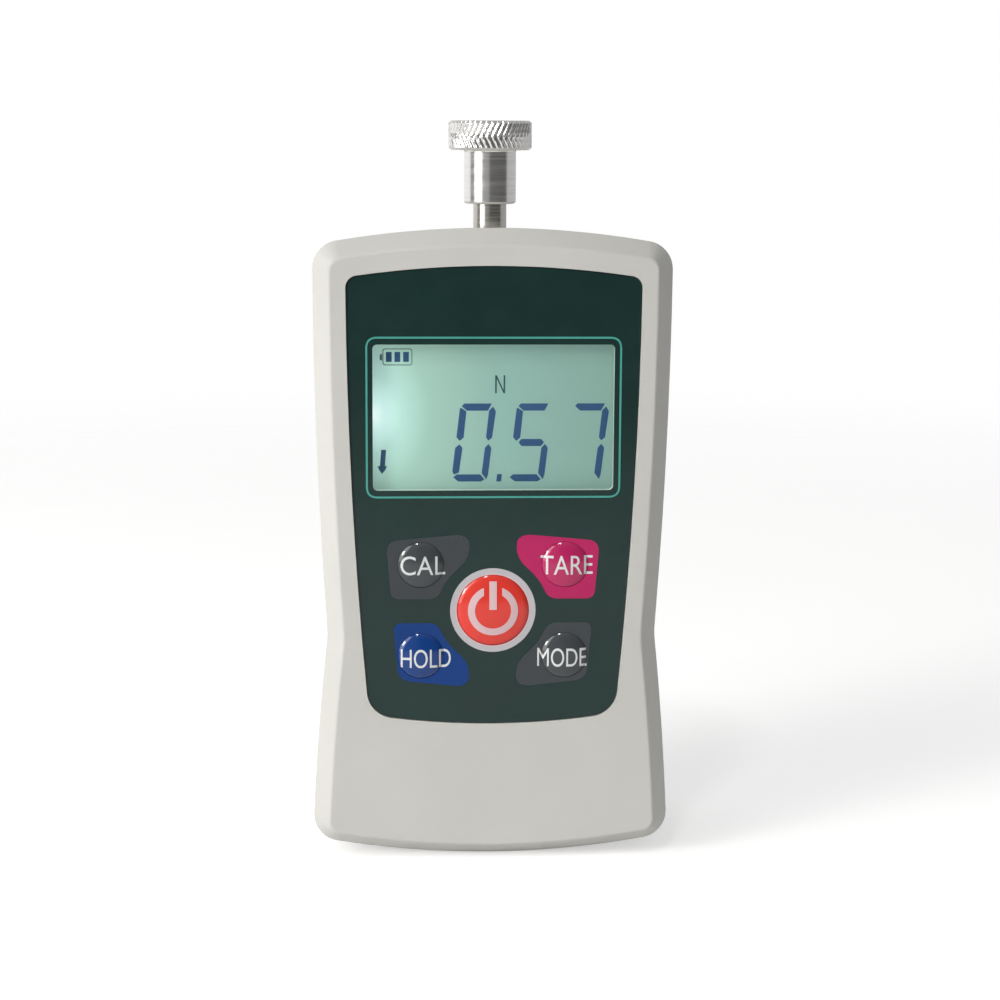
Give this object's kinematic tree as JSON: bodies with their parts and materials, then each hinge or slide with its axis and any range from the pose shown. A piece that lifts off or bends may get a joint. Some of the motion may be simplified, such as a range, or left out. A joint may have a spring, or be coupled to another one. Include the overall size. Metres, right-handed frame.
{
  "type": "digital force gauge",
  "caption": "Hand-held digital force gauge: waisted plastic case, display and domed keys, steel measuring shaft with a flat knurled head.",
  "frame": {"origin": "under the middle of the case, at the height of its lowest point", "axes": "+Z along the measuring shaft to its head, -Y out of the display, +X to the right of someone who reads it"},
  "size_m": [0.0642, 0.0376, 0.1319],
  "materials": {
    "case_plastic": "warm light grey, finely sparked",
    "panel_green": "very dark green, glossy",
    "window_clear": "clear acrylic",
    "lcd_glass": "grey-green liquid crystal",
    "light_guide": "milky",
    "white_plastic": "white",
    "elastomer": "matt",
    "black_plastic": "black",
    "board_green": "solder mask",
    "screw_steel": "zinc plated",
    "battery_jacket": "printed sleeve",
    "spring_nickel": "nickel plated",
    "head_chrome": "bright turned and knurled",
    "shaft_steel": "ground",
    "bush_plastic": "acetal",
    "cell_aluminium": "machined",
    "gauge_foil": "foil on a carrier",
    "bracket_steel": "zinc plated",
    "insert_brass": "knurled insert",
    "key_grey": "glossy dark grey",
    "key_magenta": "glossy magenta",
    "key_blue": "glossy blue",
    "key_red": "glossy red"
  },
  "bodies": {
    "housing": {"front_case": "case_plastic", "rear_case": "case_plastic", "front_panel": "panel_green", "display_window": "window_clear", "lcd_glass": "lcd_glass", "lcd_backlight": "light_guide", "lcd_frame": "white_plastic", "lcd_connectors": "elastomer", "key_switches": "black_plastic", "main_board": "board_green", "microcontroller": "black_plastic", "converter_chip": "black_plastic", "buzzer": "black_plastic", "board_connectors": "white_plastic", "board_screws": "screw_steel", "case_screws": "screw_steel", "batteries": "battery_jacket", "battery_springs": "spring_nickel", "battery_contacts": "spring_nickel", "guide_bush": "bush_plastic", "load_cell": "cell_aluminium", "strain_gauges": "gauge_foil", "load_cell_bracket": "bracket_steel", "load_cell_screws": "screw_steel", "mounting_inserts": "insert_brass", "bracket_screws": "screw_steel"},
    "key_set": {"key_set": "key_grey", "plunger_set": "black_plastic"},
    "key_zero": {"key_zero": "key_magenta", "plunger_zero": "black_plastic"},
    "key_peak": {"key_peak": "key_blue", "plunger_peak": "black_plastic"},
    "key_unit": {"key_unit": "key_grey", "plunger_unit": "black_plastic"},
    "key_power": {"key_power": "key_red", "plunger_power": "black_plastic"},
    "door": {"battery_door": "case_plastic"},
    "shaft": {"measuring_shaft": "shaft_steel", "lock_nut": "screw_steel", "stop_collars": "screw_steel"},
    "head": {"knurled_head": "head_chrome"}
  },
  "joints": [
    {"name": "press_set", "type": "slide", "parent": "housing", "child": "key_set", "axis": [0, 1, 0], "range_m": [0, 0.00035], "stiffness_N_per_m": 50, "springref_m": -0.0004},
    {"name": "press_zero", "type": "slide", "parent": "housing", "child": "key_zero", "axis": [0, 1, 0], "range_m": [0, 0.00035], "stiffness_N_per_m": 50, "springref_m": -0.0004},
    {"name": "press_peak", "type": "slide", "parent": "housing", "child": "key_peak", "axis": [0, 1, 0], "range_m": [0, 0.00035], "stiffness_N_per_m": 50, "springref_m": -0.0004},
    {"name": "press_unit", "type": "slide", "parent": "housing", "child": "key_unit", "axis": [0, 1, 0], "range_m": [0, 0.00035], "stiffness_N_per_m": 50, "springref_m": -0.0004},
    {"name": "press_power", "type": "slide", "parent": "housing", "child": "key_power", "axis": [0, 1, 0], "range_m": [0, 0.00035], "stiffness_N_per_m": 50, "springref_m": -0.0004},
    {"name": "door_tilt", "type": "hinge", "parent": "housing", "child": "door", "pos_m": [0, 0.0185, 0.0061], "axis": [-1, 0, 0], "range_deg": [0, 75]},
    {"name": "shaft_travel", "type": "slide", "parent": "housing", "child": "shaft", "axis": [0, 0, 1], "range_m": [-0.0003, 0.0003], "stiffness_N_per_m": 8000, "deforming": ["load_cell"]},
    {"name": "head_turn", "type": "hinge", "parent": "shaft", "child": "head", "pos_m": [0, 0, 0.12], "axis": [0, 0, 1], "continuous": true}
  ]
}
